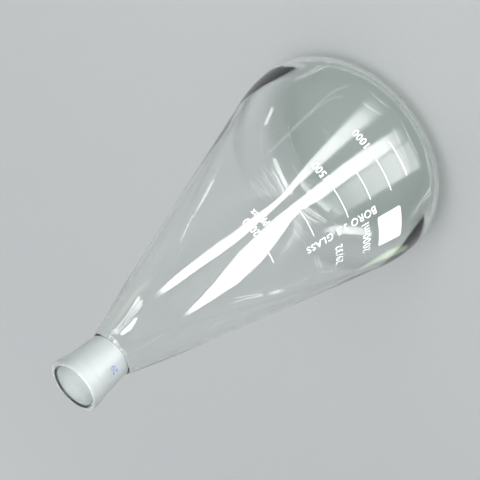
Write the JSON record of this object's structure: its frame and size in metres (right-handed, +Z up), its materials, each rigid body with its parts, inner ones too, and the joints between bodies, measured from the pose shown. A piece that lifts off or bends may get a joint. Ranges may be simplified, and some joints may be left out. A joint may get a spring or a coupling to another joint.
{
  "type": "conical flask",
  "caption": "Conical laboratory flask in clear borosilicate glass with a standard-taper ground socket at the mouth, a printed volume scale and a white writing panel.",
  "frame": {"origin": "middle of the foot, on the plane that the flask stands on", "axes": "+Z up the flask's axis to the mouth, -Y out of the front, which the printed scale faces, +X to the right of it"},
  "size_m": [0.1616, 0.1616, 0.2943],
  "materials": {
    "clear_glass": "clear blown borosilicate glass, fire polished",
    "ground_glass": "borosilicate glass with its bore ground to a frosted taper",
    "white_enamel": "white enamel print fired on to the glass, semi-gloss",
    "blue_ink": "thin blue stamp, partly worn"
  },
  "bodies": {
    "root": {"approx_letter_1": "white_enamel", "approx_letter_2": "white_enamel", "approx_letter_3": "white_enamel", "approx_letter_4": "white_enamel", "approx_letter_5": "white_enamel", "approx_letter_6": "white_enamel", "capacity_glyph_1": "white_enamel", "capacity_glyph_2": "white_enamel", "capacity_glyph_3": "white_enamel", "capacity_glyph_4": "white_enamel", "capacity_glyph_5": "white_enamel", "capacity_glyph_6": "white_enamel", "flask_body": "clear_glass", "glass_glyph_1": "white_enamel", "glass_glyph_10": "white_enamel", "glass_glyph_11": "white_enamel", "glass_glyph_12": "white_enamel", "glass_glyph_2": "white_enamel", "glass_glyph_3": "white_enamel", "glass_glyph_4": "white_enamel", "glass_glyph_5": "white_enamel", "glass_glyph_6": "white_enamel", "glass_glyph_7": "white_enamel", "glass_glyph_8": "white_enamel", "glass_glyph_9": "white_enamel", "graduation_1000": "white_enamel", "graduation_1250": "white_enamel", "graduation_1500": "white_enamel", "graduation_1750": "white_enamel", "graduation_2000": "white_enamel", "graduation_750": "white_enamel", "ground_socket": "ground_glass", "joint_glyph_1": "white_enamel", "joint_glyph_2": "white_enamel", "joint_glyph_3": "white_enamel", "joint_glyph_4": "white_enamel", "joint_glyph_5": "white_enamel", "numeral_1000_1": "white_enamel", "numeral_1000_2": "white_enamel", "numeral_1000_3": "white_enamel", "numeral_1000_4": "white_enamel", "numeral_1500_1": "white_enamel", "numeral_1500_2": "white_enamel", "numeral_1500_3": "white_enamel", "numeral_1500_4": "white_enamel", "numeral_2000_1": "white_enamel", "numeral_2000_2": "white_enamel", "numeral_2000_3": "white_enamel", "numeral_2000_4": "white_enamel", "stamp_digit_1": "blue_ink", "stamp_digit_2": "blue_ink", "writing_panel": "white_enamel"}
  },
  "joints": []
}
